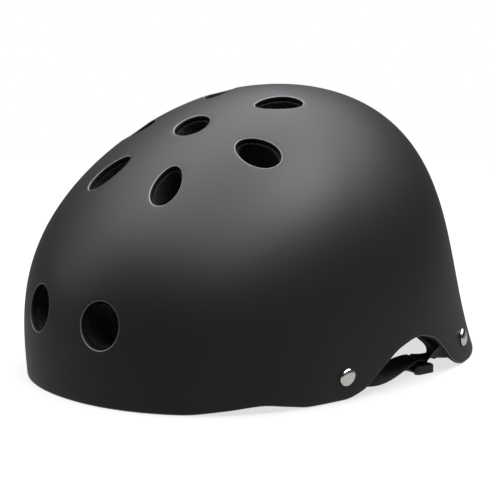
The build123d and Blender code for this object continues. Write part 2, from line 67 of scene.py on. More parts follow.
# Lower edge in side view, front to rear: feet at the brow, before the ear and behind it, with the ear arch between
EDGE_Y = np.array((
    -150, -100, -81, -62, -47, -32, -8, 4.96, 16.84, 30.88, 46, 61.39, 75.07, 89.89, 103, 113, 136, 160,
))
EDGE_Z = np.array((0, 0, 2, 4, 2, 0, 0, 3.67, 14.38, 24.53, 28.2, 24.82, 16.07, 4.51, 0, 0, 2.5, 5))

# Vents on the left side and the middle: turn round the head, share down from the crown, length, width, twist
VENTS = (
    (75.7, 0.805, 0.0270, 0.0270, 0.0),
    (71.2, 0.418, 0.0300, 0.0180, -3.4),
    (37.1, 0.336, 0.0298, 0.0199, 2.0),
    (26.7, 0.148, 0.0277, 0.0170, 0.8),
    (-74.0, 0.52, 0.0280, 0.0180, 0.0),
)
MIDDLE_VENT = (90.0, 0.237, 0.0227, 0.0208, 0.0)
EGG_FULLNESS = 0.12


def bezier(values, u):
    values = list(values)
    while len(values) > 1:
        values = [a + (b - a) * u for a, b in zip(values, values[1:])]
    return values[0]


def skin(across, ahead):
    across, ahead = np.asarray(across, float), np.asarray(ahead, float)
    down, turn = np.hypot(across, ahead), np.arctan2(ahead, across)
    side, front = np.cos(turn) ** 2, ahead >= 0
    foot = np.where(front, FRONT_FULLNESS, REAR_FULLNESS)
    fullness = 2 + (foot - 2) * np.minimum(down, 1)
    bulge_side = np.sign(across) * np.abs(np.cos(turn)) ** (2 / fullness)
    bulge_end = np.abs(np.sin(turn)) ** (2 / fullness)
    middle = CROWN_BACK - (CROWN_BACK + WIDEST_AHEAD) * bezier((0, 0, 1, 1), down)
    front_end = CROWN_BACK - (FRONT_REACH + CROWN_BACK) * bezier(FRONT_RUN, down)
    rear_end = CROWN_BACK + (REAR_REACH - CROWN_BACK) * bezier(REAR_RUN, down)
    end = np.where(front, front_end, rear_end)
    end_rise = np.where(front, bezier(FRONT_RISE, down), bezier(REAR_RISE, down))
    height = (1 - side) * end_rise + side * bezier(SIDE_RISE, down)
    x = HALF_WIDTH * bezier(SIDE_RUN, down) * bulge_side
    y = middle + (end - middle) * bulge_end - MIDDLE_Y
    return np.stack((x, y, SHELL_HEIGHT * height), -1)


def skin_normal(across, ahead):
    step = 0.001
    side = skin(np.add(across, step), ahead) - skin(np.subtract(across, step), ahead)
    front = skin(across, np.add(ahead, step)) - skin(across, np.subtract(ahead, step))
    out = np.cross(front, side)
    return out / np.linalg.norm(out, axis=-1, keepdims=True)


def edge_height(y):
    """Height of the lower edge over a place along the helmet, smooth through the points above."""
    y = y * 1000
    slopes = np.diff(EDGE_Z) / np.diff(EDGE_Y)
    tangents = np.zeros(len(EDGE_Y))
    inner = slopes[:-1] * slopes[1:] > 0
    tangents[1:-1][inner] = 2 * slopes[:-1][inner] * slopes[1:][inner] / (slopes[:-1] + slopes[1:])[inner]
    k = np.clip(np.searchsorted(EDGE_Y, y) - 1, 0, len(EDGE_Y) - 2)
    span = EDGE_Y[k + 1] - EDGE_Y[k]
    u = (y - EDGE_Y[k]) / span
    rise = (2 * u**3 - 3 * u**2 + 1) * EDGE_Z[k] + (u**3 - 2 * u**2 + u) * span * tangents[k]
    rise += (3 * u**2 - 2 * u**3) * EDGE_Z[k + 1] + (u**3 - u**2) * span * tangents[k + 1]
    return rise / 1000


def lower_edge(lift, count):
    """Where the trimmed lower edge crosses each meridian of the skin, raised by lift."""
    turn = np.linspace(0, 2 * pi, count, endpoint=False)
    low, high = np.full(count, 0.6), np.full(count, 1.03)
    for _ in range(40):
        mid = (low + high) / 2
        point = skin(mid * np.cos(turn), mid * np.sin(turn))
        above = point[:, 2] > edge_height(point[:, 1] + MIDDLE_Y) + lift
        low, high = np.where(above, mid, low), np.where(above, high, mid)
    return np.stack((low * np.cos(turn), low * np.sin(turn)), -1)


def vent_outline(vent, side, grow, count):
    """Egg outline of a vent, traced onto the skin and grown all round."""
    round_head, down, length, width, twist = vent
    round_head = radians(90 - side * (90 - round_head))
    at = np.array((down * cos(round_head), down * sin(round_head)))
    origin, normal = skin(*at), skin_normal(*at)
    away = origin - skin(0, MIDDLE_VENT[1])
    if np.linalg.norm(away) < 0.001:
        away = np.array((1.0, 0, 0))
    away -= normal * away.dot(normal)
    away /= np.linalg.norm(away)
    cross = np.cross(normal, away)
    twist = radians(side * twist)
    x_dir = away * cos(twist) + cross * sin(twist)
    y_dir = np.cross(normal, x_dir)
    fullness = EGG_FULLNESS if length != width and vent is not MIDDLE_VENT else 0
    angle = np.linspace(0, 2 * pi, count, endpoint=False)
    want = np.stack((
        (length / 2 + grow) * np.cos(angle),
        (width / 2 + grow) * np.sin(angle) * (1 + fullness * np.cos(angle)),
    ), -1)
    places = np.tile(at, (count, 1))

    def seen(p):
        reach = skin(p[:, 0], p[:, 1]) - origin
        return np.stack((reach @ x_dir, reach @ y_dir), -1)

    for _ in range(12):
        miss = want - seen(places)
        step = 1e-4
        by_a = (seen(places + (step, 0)) - seen(places)) / step
        by_b = (seen(places + (0, step)) - seen(places)) / step
        scale = by_a[:, 0] * by_b[:, 1] - by_a[:, 1] * by_b[:, 0]
        places[:, 0] += (miss[:, 0] * by_b[:, 1] - miss[:, 1] * by_b[:, 0]) / scale
        places[:, 1] += (by_a[:, 0] * miss[:, 1] - by_a[:, 1] * miss[:, 0]) / scale
    return places


def within(points, outline):
    """Which points lie inside a closed outline."""
    x, y = points[:, 0], points[:, 1]
    inside = np.zeros(len(points), bool)
    for (x0, y0), (x1, y1) in zip(outline, np.roll(outline, -1, 0)):
        crosses = (y0 > y) != (y1 > y)
        inside ^= crosses & (x < (x1 - x0) * (y - y0) / (y1 - y0 if y1 != y0 else 1) + x0)
    return inside


def open_skin(rims, step):
    """Places on the skin between the lower edge (first rim) and the vents, and the triangles that join them."""
    rows = [np.zeros((1, 2))]
    count = 88
    for k in range(1, count):
        down = k / count * 1.03
        around = skin(down * np.cos(np.linspace(0, 2 * pi, 60)), down * np.sin(np.linspace(0, 2 * pi, 60)))
        length = np.linalg.norm(np.diff(around, axis=0), axis=1).sum()
        number = max(6, int(length / step))
        turn = (np.arange(number) + 0.5 * (k % 2)) * 2 * pi / number
        rows.append(np.stack((down * np.cos(turn), down * np.sin(turn)), -1))
    places = np.concatenate(rows)
    places = places[within(places, rims[0])]
    for rim in rims[1:]:
        places = places[~within(places, rim)]
    marks = skin(*np.concatenate(rims).T)
    tree = KDTree(len(marks))
    for k, mark in enumerate(marks):
        tree.insert(mark, k)
    tree.balance()
    spots = skin(*places.T)
    free = np.array([tree.find(spot)[2] > step * 0.6 for spot in spots])
    places = np.concatenate([np.concatenate(rims), places[free]])
    edges, start = [], 0
    for rim in rims:
        edges += [(start + k, start + (k + 1) % len(rim)) for k in range(len(rim))]
        start += len(rim)
    verts, _, faces, _, _, _ = delaunay_2d_cdt([Vector(p) for p in places], edges, [], 0, 1e-9)
    verts, faces = np.array([tuple(v) for v in verts]), np.array(faces)
    middles = verts[faces].mean(1)
    keep = within(middles, rims[0])
    for rim in rims[1:]:
        keep &= ~within(middles, rim)
    return verts, faces[keep]


def rim_rows(edge, inner, wall):
    """Rounded rim of a trimmed opening: from the outer skin over the edge to the inner skin."""
    corner = skin(*edge.T)
    outer, normal = skin(*inner.T), skin_normal(*inner.T)
    out = outer - corner
    out -= normal * (out * normal).sum(1, keepdims=True)
    size = np.linalg.norm(out, axis=1, keepdims=True)
    out /= size
    corner = outer - out * size
    rows = []
    for side in (0, 1):
        for k in range(1, RIM_ARC + 1):
            angle = pi / 2 * k / RIM_ARC if side == 0 else pi / 2 * (1 - k / RIM_ARC)
            sunk = size if side == 0 else wall - size
            turn = 1 if side == 0 else -1
            centre = corner + out * size - normal * sunk
            rows.append(centre + size * (turn * normal * cos(angle) - out * sin(angle)))
    return rows[:-1]


def shell_mesh():
    """Outer and inner skin joined over the rims, and each face's material: skin, rim with a painted highlight, or cut
    wall with painted shade.
    """
    pairs = [tuple(lower_edge(lift, EDGE_POINTS) for lift in (0, RIM_ROUND))]
    for vent, side in [(vent, side) for vent in VENTS for side in (1, -1)] + [(MIDDLE_VENT, 1)]:
        pairs.append(tuple(vent_outline(vent, side, grow, VENT_POINTS) for grow in (0, RIM_ROUND)))
    places, faces = open_skin([inner for _, inner in pairs], MESH_STEP)
    outer = skin(*places.T)
    hollow = outer - skin_normal(*places.T) * SHELL_WALL
    points = [outer, hollow]
    total = len(outer)
    side = np.cross(outer[faces[:, 1]] - outer[faces[:, 0]], outer[faces[:, 2]] - outer[faces[:, 0]])
    flip = (side * skin_normal(*places[faces].mean(1).T)).sum(1) < 0
    faces[flip] = faces[flip][:, ::-1]
    joined = [tuple(f) for f in faces] + [tuple(total + v for v in f[::-1]) for f in faces]
    kinds = [0] * len(joined)
    count, start = 2 * total, 0
    for edge, inner in pairs:
        number = len(inner)
        ids = [np.arange(start, start + number)]
        for row in rim_rows(edge, inner, SHELL_WALL):
            points.append(row)
            ids.append(np.arange(count, count + number))
            count += number
        ids.append(np.arange(start, start + number) + total)
        start += number
        for band, (a, b) in enumerate(zip(ids, ids[1:])):
            joined += [(a[k], a[(k + 1) % number], b[(k + 1) % number], b[k]) for k in range(number)]
            kinds += [1 if band < 2 else 2] * number
    return np.concatenate(points), joined, kinds


def new_piece(name, points, faces, smooth=True):
    """A mesh piece with its faces turned outwards."""
    mesh = bpy.data.meshes.new(name)
    mesh.from_pydata([tuple(map(float, p)) for p in points], [], [tuple(map(int, f)) for f in faces])
    tidy = bmesh.new()
    tidy.from_mesh(mesh)
    bmesh.ops.recalc_face_normals(tidy, faces=tidy.faces)
    tidy.to_mesh(mesh)
    tidy.free()
    mesh.polygons.foreach_set("use_smooth", [smooth] * len(mesh.polygons))
    piece = bpy.data.objects.new(name, mesh)
    bpy.context.scene.collection.objects.link(piece)
    return piece


def new_group(name, inputs, outputs):
    """An empty shader node group with its inputs and outputs, as (name, default) pairs."""
    group = bpy.data.node_groups.new(name, "ShaderNodeTree")
    for title, value in inputs:
        socket = group.interface.new_socket(title, in_out="INPUT", socket_type="NodeSocketFloat")
        socket.default_value = value
    for title in outputs:
        group.interface.new_socket(title, in_out="OUTPUT", socket_type="NodeSocketFloat")
    return group, group.nodes.new("NodeGroupInput"), group.nodes.new("NodeGroupOutput")


def add_node(tree, kind, **values):
    node = tree.nodes.new(kind)
    for key, value in values.items():
        if hasattr(node, key):
            setattr(node, key, value)
        else:
            node.inputs[key.replace("_", " ")].default_value = value
    return node


# Moulding grain, used by all plastics: a fine spark-eroded texture and soft, large changes of sheen.
grain, grain_in, grain_out = new_group("moulding_grain", (("Scale", 1500.0),), ("Height", "Sheen"))
grain_place = grain.nodes.new("ShaderNodeTexCoord")
fine = add_node(grain, "ShaderNodeTexNoise", Detail=3.0, Roughness=0.6)
broad = add_node(grain, "ShaderNodeTexNoise", Scale=14.0, Detail=2.0, Roughness=0.5)
grain.links.new(grain_in.outputs["Scale"], fine.inputs["Scale"])
for noise in (fine, broad):
    grain.links.new(grain_place.outputs["Object"], noise.inputs["Vector"])
grain.links.new(fine.outputs["Fac"], grain_out.inputs["Height"])
grain.links.new(broad.outputs["Fac"], grain_out.inputs["Sheen"])


def new_material(name):
    """A material with its tree and its Principled shader."""
    material = bpy.data.materials.new(name)
    material.use_nodes = True
    return material, material.node_tree, material.node_tree.nodes["Principled BSDF"]


def tinted(tree, effect_socket, low, high):
    """Colour between low and high by a value."""
    tint = add_node(tree, "ShaderNodeMix", data_type="RGBA")
    tint.inputs[6].default_value = (*low, 1)
    tint.inputs[7].default_value = (*high, 1)
    tree.links.new(effect_socket, tint.inputs[0])
    return tint.outputs[2]


def bumped(tree, shader, height, strength, distance):
    bump = add_node(tree, "ShaderNodeBump", Strength=strength, Distance=distance)
    tree.links.new(height, bump.inputs["Height"])
    tree.links.new(bump.outputs["Normal"], shader.inputs["Normal"])


def moulded(name, colour, light, rough, rough_span, scale, height, level=0.5):
    """Moulded plastic with its fine grain and uneven sheen."""
    material, tree, shader = new_material(name)
    shader.inputs["Specular IOR Level"].default_value = level
    effect = tree.nodes.new("ShaderNodeGroup")
    effect.node_tree = grain
    effect.inputs["Scale"].default_value = scale
    tree.links.new(tinted(tree, effect.outputs["Sheen"], colour, light), shader.inputs["Base Color"])
    span = add_node(tree, "ShaderNodeMapRange", To_Min=rough - rough_span, To_Max=rough + rough_span)
    tree.links.new(effect.outputs["Sheen"], span.inputs["Value"])
    tree.links.new(span.outputs["Result"], shader.inputs["Roughness"])
    bumped(tree, shader, effect.outputs["Height"], 1.0, height)
    return material


shell_points, shell_faces, face_kinds = shell_mesh()
shell = new_piece("shell_moulding", shell_points, shell_faces)
for finish in (
    moulded("shell_black", (0.0095, 0.0095, 0.0100), (0.0125, 0.0125, 0.0132), 0.46, 0.02, 900.0, 0.000012, 0.32),
    # The rim's pale colour is a painted highlight along the rounded edge.
    moulded("shell_rim_painted_highlight", (0.085, 0.083, 0.082), (0.125, 0.122, 0.120), 0.38, 0.05, 1400.0, 0.00002),
    # The cut wall's darker colour is painted shade inside the vents and under the lower edge.
    moulded("shell_cut_wall_painted_shade", (0.0035, 0.0035, 0.0035), (0.0060, 0.0060, 0.0060), 0.75, 0.08, 700.0, 0.00005, 0.2),
):
    shell.data.materials.append(finish)
shell.data.polygons.foreach_set("material_index", face_kinds)
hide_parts("outer_shell")
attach(shell, "helmet")


# Foam liner: expanded polystyrene moulded in one piece and glued into the shell.
# Its skin shows fused beads a few millimetres across, and cut places are rougher.
FOAM_BEAD = 330.0
foam, foam_tree, foam_shader = new_material("liner_foam_beads")
foam_place = foam_tree.nodes.new("ShaderNodeTexCoord")
beads = add_node(foam_tree, "ShaderNodeTexVoronoi", Scale=FOAM_BEAD, feature="F1")
seams = add_node(foam_tree, "ShaderNodeTexVoronoi", Scale=FOAM_BEAD, feature="DISTANCE_TO_EDGE")
pits = add_node(foam_tree, "ShaderNodeTexNoise", Scale=900.0, Detail=3.0)
for texture in (beads, seams, pits):
    foam_tree.links.new(foam_place.outputs["Object"], texture.inputs["Vector"])
bead_tone = add_node(foam_tree, "ShaderNodeValToRGB")
bead_tone.color_ramp.elements[0].color = (0.004, 0.0038, 0.0036, 1)
bead_tone.color_ramp.elements[1].color = (0.016, 0.0150, 0.0138, 1)
bead_tone.color_ramp.elements[1].position = 0.35
foam_tree.links.new(seams.outputs["Distance"], bead_tone.inputs["Fac"])
foam_tree.links.new(bead_tone.outputs["Color"], foam_shader.inputs["Base Color"])
foam_shader.inputs["Roughness"].default_value = 0.85
foam_shader.inputs["Specular IOR Level"].default_value = 0.15
foam_height = add_node(foam_tree, "ShaderNodeMath", operation="MULTIPLY_ADD")
foam_height.inputs[1].default_value = 0.35
foam_tree.links.new(pits.outputs["Fac"], foam_height.inputs[0])
foam_tree.links.new(seams.outputs["Distance"], foam_height.inputs[2])
bumped(foam_tree, foam_shader, foam_height.outputs[0], 0.9, 0.0006)


def dress(node, material):
    """Gives a CAD piece that shows its own material."""
    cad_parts[node].material_slots[0].material = material


dress("foam_liner", foam)


# Webbing legs: flat woven nylon, 15 mm wide and 1.4 mm thick, from each rivet to the strap divider.
# Each is held flat under its rivet, twists on its way and turns down through the divider's rear slot.
WEB_WIDTH, WEB_THICKNESS = 0.015, 0.0014
FRONT_LEG = (
    (103.33, -30.32, 15.69, 0.23, 0.00, 0.97),
    (103.15, -13.32, 15.69, 0.23, 0.00, 0.97),
    (99.49, -6.29, 13.23, 0.00, 0.00, 1.00),
    (95.83, 4.95, 9.55, -0.50, 0.00, 0.87),
    (90.08, 19.01, 7.09, -0.88, 0.00, 0.47),
    (83.28, 35.87, 7.01, -0.98, 0.00, 0.17),
    (78.31, 49.22, 7.75, -1.00, 0.00, 0.00),
    (77.00, 56.60, 7.50, -1.00, 0.00, 0.00),
    (77.00, 58.15, 6.40, -1.00, 0.00, 0.00),
    (77.00, 58.35, 2.60, -1.00, 0.00, 0.00),
    (77.00, 58.55, 1.50, -1.00, 0.00, 0.00),
    (77.00, 59.23, 1.00, -1.00, 0.00, 0.00),
)
REAR_LEG = (
    (73.05, 94.41, 19.34, 0.20, -0.47, 0.86),
    (80.66, 83.86, 11.88, 0.20, -0.47, 0.86),
    (81.67, 82.45, 10.88, 0.20, -0.47, 0.86),
    (80.57, 80.12, 10.23, 0.32, -0.45, 0.83),
    (78.61, 75.05, 9.35, 0.60, -0.38, 0.71),
    (77.25, 69.66, 8.75, 0.83, -0.27, 0.49),
    (76.79, 64.21, 8.02, 0.98, -0.10, 0.19),
    (77.00, 61.75, 7.50, 1.00, 0.00, 0.00),
    (77.00, 60.35, 6.30, 1.00, 0.00, 0.00),
    (77.00, 60.15, 2.60, 1.00, 0.00, 0.00),
    (77.00, 59.95, 1.50, 1.00, 0.00, 0.00),
    (77.00, 59.27, 1.00, 1.00, 0.00, 0.00),
)


def smooth_line(points, step):
    """Even points, a step apart, on a smooth line through all the given rows."""
    points = np.asarray(points, float)
    padded = np.concatenate([2 * points[:1] - points[1:2], points, 2 * points[-1:] - points[-2:-1]])
    rows = []
    for a, b, c, d in zip(padded, padded[1:], padded[2:], padded[3:]):
        for u in np.linspace(0, 1, 16, endpoint=False):
            rows.append(0.5 * (2*b + (c - a)*u + (2*a - 5*b + 4*c - d)*u**2 + (3*b - a - 3*c + d)*u**3))
    rows = np.array(rows + [points[-1]])
    run = np.concatenate([[0], np.cumsum(np.linalg.norm(np.diff(rows[:, :3], axis=0), axis=1))])
    even = np.linspace(0, run[-1], max(2, int(run[-1] / step)))
    return np.stack([np.interp(even, run, rows[:, k]) for k in range(rows.shape[1])], -1), even


def web_mesh(name, stations):
    """Woven strap through stations, each a point and the direction of its width, with rounded selvedges."""
    rows, run = smooth_line(stations, 0.0009)
    centre, wide = rows[:, :3], rows[:, 3:]
    ahead = np.gradient(centre, axis=0)
    ahead /= np.linalg.norm(ahead, axis=1, keepdims=True)
    wide = wide - ahead * (wide * ahead).sum(1, keepdims=True)
    wide /= np.linalg.norm(wide, axis=1, keepdims=True)
    thick = np.cross(ahead, wide)
    round_by = WEB_THICKNESS / 2
    flat = WEB_WIDTH / 2 - round_by
    profile = [(x, round_by) for x in np.linspace(-flat, flat, 9)]
    profile += [(flat + round_by * sin(a), round_by * cos(a)) for a in (pi / 4, pi / 2, 3 * pi / 4)]
    profile += [(x, -round_by) for x in np.linspace(flat, -flat, 9)]
    profile += [(-flat - round_by * sin(a), -round_by * cos(a)) for a in (pi / 4, pi / 2, 3 * pi / 4)]
    count = len(profile)
    points = np.concatenate([centre + wide * a + thick * b for a, b in profile]).reshape(count, -1, 3)
    length = points.shape[1]
    faces = [
        (k * length + j, k * length + j + 1, (k + 1) % count * length + j + 1, (k + 1) % count * length + j)
        for k in range(count) for j in range(length - 1)
    ]
    faces += [tuple(k * length for k in range(count)), tuple(k * length + length - 1 for k in range(count))]
    piece = new_piece(name, points.reshape(-1, 3), faces)
    layer = piece.data.uv_layers.new(name="web")
    for corner in piece.data.loops:
        k, j = divmod(corner.vertex_index, length)
        layer.data[corner.index].uv = (run[j], profile[k][0])
    return piece


def mirrored_rows(stations):
    return np.asarray(stations) * (-1, 1, 1, -1, 1, 1)


def metres(stations):
    """Stations from millimetres to metres."""
    return np.asarray(stations) * (0.001, 0.001, 0.001, 1, 1, 1)


# Weave of the webbing, in metres along and across the strap: chevron ribs with single threads in them
weave, weave_in, weave_out = new_group("webbing_weave", (("Ribs", 7.0),), ("Height", "Worn"))
weave_place = weave.nodes.new("ShaderNodeTexCoord")
weave_split = weave.nodes.new("ShaderNodeSeparateXYZ")
weave.links.new(weave_place.outputs["UV"], weave_split.inputs[0])


def sum_of(tree, operation, first, second=None, third=None):
    """A math node on sockets or numbers."""
    node = add_node(tree, "ShaderNodeMath", operation=operation)
    for slot, value in enumerate((first, second, third)):
        if value is None:
            continue
        if isinstance(value, (int, float)):
            node.inputs[slot].default_value = value
        else:
            tree.links.new(value, node.inputs[slot])
    return node.outputs[0]


rib = sum_of(weave, "MULTIPLY", weave_split.outputs[1], 1 / WEB_WIDTH)
rib = sum_of(weave, "MULTIPLY", rib, weave_in.outputs["Ribs"])
zigzag = sum_of(weave, "PINGPONG", sum_of(weave, "ADD", rib, 40.5), 1.0)
phase = sum_of(weave, "MULTIPLY_ADD", weave_split.outputs[0], 5200.0, sum_of(weave, "MULTIPLY", zigzag, 3.2))
threads = sum_of(weave, "MULTIPLY_ADD", sum_of(weave, "SINE", phase), 0.35, 0.5)
valley = sum_of(weave, "COSINE", sum_of(weave, "MULTIPLY", rib, 2 * pi))
valley = sum_of(weave, "MULTIPLY_ADD", valley, -0.15, 0)
weave.links.new(sum_of(weave, "ADD", threads, valley), weave_out.inputs["Height"])
rubbed = add_node(weave, "ShaderNodeTexNoise", Scale=130.0, Detail=3.0)
weave.links.new(weave_place.outputs["Object"], rubbed.inputs["Vector"])
weave.links.new(rubbed.outputs["Fac"], weave_out.inputs["Worn"])


nylon, nylon_tree, nylon_shader = new_material("nylon_webbing")
nylon_shader.inputs["Sheen Weight"].default_value = 0.15
nylon_shader.inputs["Specular IOR Level"].default_value = 0.35
nylon_weave = nylon_tree.nodes.new("ShaderNodeGroup")
nylon_weave.node_tree = weave
nylon_weave.inputs["Ribs"].default_value = 7.0
# Colour follows the weave's height times the rubbed noise: painted shade in the valleys between threads and ribs, and
# rubbed wear in patches.
weave_shade_and_wear = sum_of(nylon_tree, "MULTIPLY", nylon_weave.outputs["Height"], nylon_weave.outputs["Worn"])
nylon_tree.links.new(
    tinted(nylon_tree, weave_shade_and_wear, (0.006, 0.006, 0.0065), (0.040, 0.040, 0.042)), nylon_shader.inputs["Base Color"]
)
nylon_rough = sum_of(nylon_tree, "MULTIPLY_ADD", nylon_weave.outputs["Worn"], 0.25, 0.5)
nylon_tree.links.new(nylon_rough, nylon_shader.inputs["Roughness"])
bumped(nylon_tree, nylon_shader, nylon_weave.outputs["Height"], 0.9, 0.00022)

for side in ("left", "right"):
    for which, rows in (("front", FRONT_LEG), ("rear", REAR_LEG)):
        rows = metres(rows) if side == "left" else mirrored_rows(metres(rows))
        leg = web_mesh(f"{side}_{which}_webbing", rows)
        leg.data.materials.append(nylon)
        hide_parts(f"{side}_{which}_leg")
        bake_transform(leg)


# Chin strap: two lengths of the same webbing, looped round the divider's bar and sewn down with a boxed cross.
# It lies curved in the bowl as the helmet stands, and the right length comes back from the buckle as the free end.
STRAP_Z, LAYER = 0.0035, 0.00148
DIVIDER_BAR = (0.077, 0.051551)
ARC_CENTRE, ARC_RADIUS = (0.039, 0.045551), 0.038
BUCKLE_BAR_X, BUCKLE_Y = 0.023, 0.007551
LOOP_MIDDLE = 0.0023
LOOP_HOLD = 0.0042
LOOP_DIP = 0.0031
LOOP_EASE = 0.0006
SEWN = 0.0135


def strap_way(s):
    """Point of the left half's middle line, s along it from the divider's bar, and the direction of its width."""
    first = DIVIDER_BAR[1] - ARC_CENTRE[1]
    arc = ARC_RADIUS * pi / 2
    if s < first:
        return np.array((DIVIDER_BAR[0], DIVIDER_BAR[1] - s)), np.array((1.0, 0.0))
    if s < first + arc:
        turn = (s - first) / ARC_RADIUS
        out = np.array((cos(turn), -sin(turn)))
        return np.array(ARC_CENTRE) + ARC_RADIUS * out, out
    return np.array((ARC_CENTRE[0] - (s - first - arc), BUCKLE_Y)), np.array((0.0, -1.0))


STRAP_LENGTH = (DIVIDER_BAR[1] - ARC_CENTRE[1]) + ARC_RADIUS * pi / 2 + ARC_CENTRE[0] - BUCKLE_BAR_X


def flat_station(s, height):
    place, wide = strap_way(s)
    return (*place, height, *wide, 0.0)


def divider_loop():
    """Sewn layer above the strap, then round the divider's bar, ending where the loop meets the strap."""
    rows = [flat_station(s, STRAP_Z + LAYER) for s in np.linspace(SEWN, LOOP_HOLD, 6)]
    for degrees in (75, 40, 0, -40, -75, -105):
        turn = radians(degrees)
        y = DIVIDER_BAR[1] + LOOP_MIDDLE * cos(turn)
        rows.append((DIVIDER_BAR[0], y, STRAP_Z + LOOP_MIDDLE * sin(turn), 1.0, 0.0, 0.0))
    return rows


def buckle_loop(sewn):
    """Round the buckle's bar from below, then back above the strap over the sewn length."""
    rows = []
    for degrees in (-75, -40, 0, 40, 75):
        turn = radians(degrees)
        x = BUCKLE_BAR_X - LOOP_MIDDLE * cos(turn)
        rows.append((x, BUCKLE_Y, STRAP_Z + LOOP_MIDDLE * sin(turn), 0.0, -1.0, 0.0))
    for s in np.linspace(STRAP_LENGTH - LOOP_HOLD, STRAP_LENGTH - sewn, 5):
        rows.append(flat_station(s, STRAP_Z + LAYER))
    return rows


flat_run = np.linspace(LOOP_HOLD + LOOP_EASE, STRAP_LENGTH - LOOP_HOLD - LOOP_EASE, 40)
middle_run = [flat_station(s, STRAP_Z) for s in flat_run]
left_strap = web_mesh("left_chin_webbing", divider_loop() + middle_run + buckle_loop(SEWN))
left_strap.data.materials.append(nylon)
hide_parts("left_chin_strap")
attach(left_strap, "chin_strap")

flat_end = flat_station(STRAP_LENGTH - LOOP_DIP, STRAP_Z)
right_rows = divider_loop() + middle_run + [flat_end] + buckle_loop(LOOP_HOLD + 0.0002)[:6]
right_strap = web_mesh("right_chin_webbing", mirrored_rows(right_rows))
right_strap.data.materials.append(nylon)
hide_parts("right_chin_strap")
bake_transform(right_strap)


def stitch_mesh(name, lines, height, flip):
    """Rows of thread stitches on the sewn layer, each line from (s, across) to (s, across)."""
    points, faces = [], []
    pitch, long, thick = 0.0021, 0.00082, 0.00021
    for (s0, a0), (s1, a1) in lines:
        number = max(2, int(hypot(s1 - s0, a1 - a0) / pitch))
        for k in range(number):
            ends = []
            for u in ((k + 0.12) / number, (k + 0.88) / number):
                place, wide = strap_way(s0 + (s1 - s0) * u)
                ends.append(np.array((*(place + wide * (a0 + (a1 - a0) * u)), height)))
            middle, way = (ends[0] + ends[1]) / 2, ends[1] - ends[0]
            way /= np.linalg.norm(way)
            cross = np.cross((0, 0, 1.0), way)
            base = len(points)
            for share, size in ((-1, 0.25), (-0.7, 0.8), (0, 1), (0.7, 0.8), (1, 0.25)):
                for turn in np.linspace(0, 2 * pi, 6, endpoint=False):
                    lift = np.array((0, 0, thick * size * sin(turn)))
                    points.append(middle + way * long * share + cross * thick * size * cos(turn) + lift)
            for row in range(4):
                for j in range(6):
                    a, b = base + row * 6 + j, base + row * 6 + (j + 1) % 6
                    faces.append((a, b, b + 6, a + 6))
            faces += [tuple(base + j for j in range(6)), tuple(base + 24 + j for j in range(6))]
    points = np.array(points)
    if flip:
        points = points * (-1, 1, 1)
    return new_piece(name, points, faces)


def boxed_cross(s0, s1, half):
    corners = [(s0, -half), (s1, -half), (s1, half), (s0, half)]
    lines = list(zip(corners, corners[1:] + corners[:1]))
    return lines + [(corners[0], corners[2]), (corners[1], corners[3])]


thread, thread_tree, thread_shader = new_material("sewing_thread")
thread_shader.inputs["Sheen Weight"].default_value = 0.2
thread_twist = add_node(thread_tree, "ShaderNodeTexNoise", Scale=2600.0, Detail=2.0)
thread_tree.links.new(
    tinted(thread_tree, thread_twist.outputs["Fac"], (0.02, 0.02, 0.021), (0.07, 0.07, 0.072)),
    thread_shader.inputs["Base Color"],
)
bumped(thread_tree, thread_shader, thread_twist.outputs["Fac"], 0.6, 0.0001)
thread_shader.inputs["Roughness"].default_value = 0.6
SEWN_TOP = STRAP_Z + LAYER + WEB_THICKNESS / 2 + 0.00005
STITCH_INSET, STITCH_HALF = 0.0012, 0.0055
divider_lines = boxed_cross(LOOP_HOLD + STITCH_INSET, SEWN - STITCH_INSET, STITCH_HALF)
for side, flip in (("left", False), ("right", True)):
    tack = stitch_mesh(f"{side}_divider_stitches", divider_lines, SEWN_TOP, flip)
    tack.data.materials.append(thread)
    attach(tack, "chin_strap")
buckle_span = (STRAP_LENGTH - SEWN + STITCH_INSET, STRAP_LENGTH - LOOP_HOLD - STITCH_INSET)
buckle_lines = boxed_cross(*buckle_span, STITCH_HALF)
buckle_tack = stitch_mesh("left_buckle_stitches", buckle_lines, SEWN_TOP, False)
buckle_tack.data.materials.append(thread)
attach(buckle_tack, "chin_strap")


# Free end of the webbing: it lies over the right half of the chin strap and ends with two rows of hem stitches across
# it.
TAIL_Z, TAIL_START, TAIL_TURN = 0.0052, 0.0263, radians(24.0)
tail_rows = [(x, BUCKLE_Y, TAIL_Z, 0.0, -1.0, 0.0) for x in np.linspace(TAIL_START, ARC_CENTRE[0], 6)]
for turn in np.linspace(0, TAIL_TURN, 8)[1:]:
    out = (sin(turn), -cos(turn))
    tail_rows.append((ARC_CENTRE[0] + ARC_RADIUS * out[0], ARC_CENTRE[1] + ARC_RADIUS * out[1], TAIL_Z, *out, 0.0))
tail = web_mesh("strap_tail_webbing", mirrored_rows(tail_rows))
tail.data.materials.append(nylon)
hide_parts("strap_tail")
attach(tail, "buckle_plug")
hem_end = STRAP_LENGTH - (ARC_CENTRE[0] - BUCKLE_BAR_X) - ARC_RADIUS * TAIL_TURN
hem_lines = [((hem_end + gap, -0.0062), (hem_end + gap, 0.0062)) for gap in (0.0015, 0.0060)]
hem = stitch_mesh("strap_tail_stitches", hem_lines, TAIL_Z + WEB_THICKNESS / 2 + 0.00003, True)
hem.data.materials.append(thread)
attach(hem, "buckle_plug")


# Strap dividers: moulded nylon, satin black, all edges softened.
EDGE_SOFT = 0.00035


